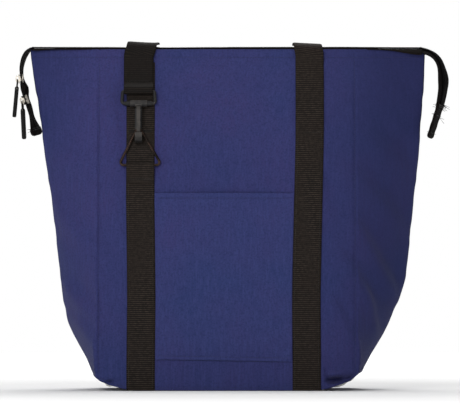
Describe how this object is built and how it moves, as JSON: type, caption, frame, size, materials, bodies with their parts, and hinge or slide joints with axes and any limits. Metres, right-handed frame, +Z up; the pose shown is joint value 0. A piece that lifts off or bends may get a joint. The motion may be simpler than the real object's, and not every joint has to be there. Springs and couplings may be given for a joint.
{
  "type": "insulated cooler bag",
  "caption": "Soft insulated tote with a zipped mouth, front pocket, sewn webbing straps, two drop handles, a snap hook clipped to a ring, and drooping zipper tails.",
  "frame": {"origin": "middle of the flat base, on the surface that the bag stands on", "axes": "+Z up, +X to the bag's right as seen from the front, -Y towards the front with the pocket and the hook"},
  "size_m": [0.5962, 0.2297, 0.474],
  "materials": {
    "shell_fabric": "navy woven polyester, matt with a faint sheen",
    "insulating_foam": "closed-cell polyethylene foam",
    "foil_lining": "silver heat-sealed lining film",
    "base_board": "stiff polypropylene board",
    "webbing": "black ribbed polypropylene webbing",
    "ring_wire": "black coated steel wire, slightly worn",
    "clip_plastic": "moulded acetal, satin",
    "zipper_tape": "black woven zipper tape",
    "zipper_coil": "nylon coil",
    "slider_metal": "dark plated zinc, worn bright on its edges",
    "pull_plastic": "moulded black pull"
  },
  "bodies": {
    "bag": {"front_panel": "shell_fabric", "front_foam": "insulating_foam", "front_lining": "foil_lining", "left_gusset": "shell_fabric", "left_gusset_foam": "insulating_foam", "left_gusset_lining": "foil_lining", "right_gusset": "shell_fabric", "right_gusset_foam": "insulating_foam", "right_gusset_lining": "foil_lining", "base_panel": "shell_fabric", "base_board": "base_board", "base_foam": "insulating_foam", "base_lining": "foil_lining", "front_left_strap": "webbing", "front_right_strap": "webbing", "hook_tab": "webbing", "ring_tab": "webbing", "front_pocket": "shell_fabric", "zipper_tape_front": "zipper_tape", "zipper_coil_front": "zipper_coil"},
    "back_wall": {"back_panel": "shell_fabric", "back_foam": "insulating_foam", "back_lining": "foil_lining", "back_left_strap": "webbing", "back_right_strap": "webbing", "zipper_tape_back": "zipper_tape", "zipper_coil_back": "zipper_coil", "front_handle_left_turn": "webbing", "front_handle_right_turn": "webbing"},
    "front_handle": {"front_handle": "webbing"},
    "back_handle": {"back_handle": "webbing"},
    "hook_frame": {"hook_frame": "clip_plastic"},
    "snap_hook": {"snap_hook": "clip_plastic"},
    "hook_gate": {"hook_gate": "clip_plastic"},
    "triangle_ring": {"triangle_ring": "ring_wire"},
    "left_tail": {"left_tail_tape": "zipper_tape", "left_tail_coil": "zipper_coil", "left_tail_end": "zipper_tape"},
    "right_tail": {"right_tail_tape": "zipper_tape", "right_tail_coil": "zipper_coil", "right_tail_end": "zipper_tape"},
    "upper_slider": {"zipper_slider_upper": "slider_metal"},
    "lower_slider": {"zipper_slider_lower": "slider_metal"},
    "upper_pull": {"pull_wire_upper": "slider_metal", "pull_tab_upper": "pull_plastic"},
    "lower_pull": {"pull_wire_lower": "slider_metal", "pull_tab_lower": "pull_plastic"}
  },
  "joints": [
    {"name": "mouth_open", "type": "hinge", "parent": "bag", "child": "back_wall", "pos_m": [0, 0.088, 0.0006], "axis": [-1, 0, 0], "range_deg": [0, 12]},
    {"name": "front_handle_swing", "type": "hinge", "parent": "back_wall", "child": "front_handle", "pos_m": [0, 0, 0.464], "axis": [1, 0, 0], "range_deg": [0, 175]},
    {"name": "back_handle_swing", "type": "hinge", "parent": "back_wall", "child": "back_handle", "pos_m": [0, 0.0471, 0.356], "axis": [1, 0, 0], "range_deg": [0, 130]},
    {"name": "hook_frame_swing", "type": "hinge", "parent": "bag", "child": "hook_frame", "pos_m": [-0.1203, -0.03419, 0.406], "axis": [-1, 0, 0], "range_deg": [0, 10]},
    {"name": "snap_hook_swing", "type": "hinge", "parent": "hook_frame", "child": "snap_hook", "pos_m": [-0.1203, -0.03852, 0.38954], "axis": [-1, 0, 0], "range_deg": [-5.5, 0]},
    {"name": "hook_gate_press", "type": "hinge", "parent": "snap_hook", "child": "hook_gate", "pos_m": [-0.1203, -0.04706, 0.384], "axis": [1, 0, 0], "range_deg": [0, 6], "stiffness_Nm_per_rad": 0.5, "springref_deg": -8.59},
    {"name": "ring_swing", "type": "hinge", "parent": "bag", "child": "triangle_ring", "pos_m": [-0.1178, -0.05328, 0.30585], "axis": [1, 0, 0], "range_deg": [0, 9.2]},
    {"name": "left_tail_lift", "type": "hinge", "parent": "bag", "child": "left_tail", "pos_m": [-0.2652, 0, 0.4688], "axis": [0, 1, 0], "range_deg": [0, 60]},
    {"name": "right_tail_lift", "type": "hinge", "parent": "bag", "child": "right_tail", "pos_m": [0.2652, 0, 0.4688], "axis": [0, -1, 0], "range_deg": [0, 60]},
    {"name": "upper_slider_travel", "type": "slide", "parent": "left_tail", "child": "upper_slider", "axis": [0.015, 0, -0.9999], "range_m": [-0.006, 0.006]},
    {"name": "lower_slider_travel", "type": "slide", "parent": "left_tail", "child": "lower_slider", "axis": [0.3099, 0, -0.9508], "range_m": [0, 0.024]},
    {"name": "upper_pull_swing", "type": "hinge", "parent": "upper_slider", "child": "upper_pull", "pos_m": [-0.28572, 0, 0.42228], "axis": [0, 1, 0], "range_deg": [0, 110]},
    {"name": "lower_pull_swing", "type": "hinge", "parent": "lower_slider", "child": "lower_pull", "pos_m": [-0.27923, 0.00139, 0.39244], "axis": [0.23, 0.9703, 0.075], "range_deg": [0, 12]}
  ],
  "couplings": [
    {"joint": "snap_hook_swing", "follows": "hook_frame_swing", "ratio": -0.5},
    {"joint": "ring_swing", "follows": "hook_frame_swing", "ratio": 0.85}
  ]
}
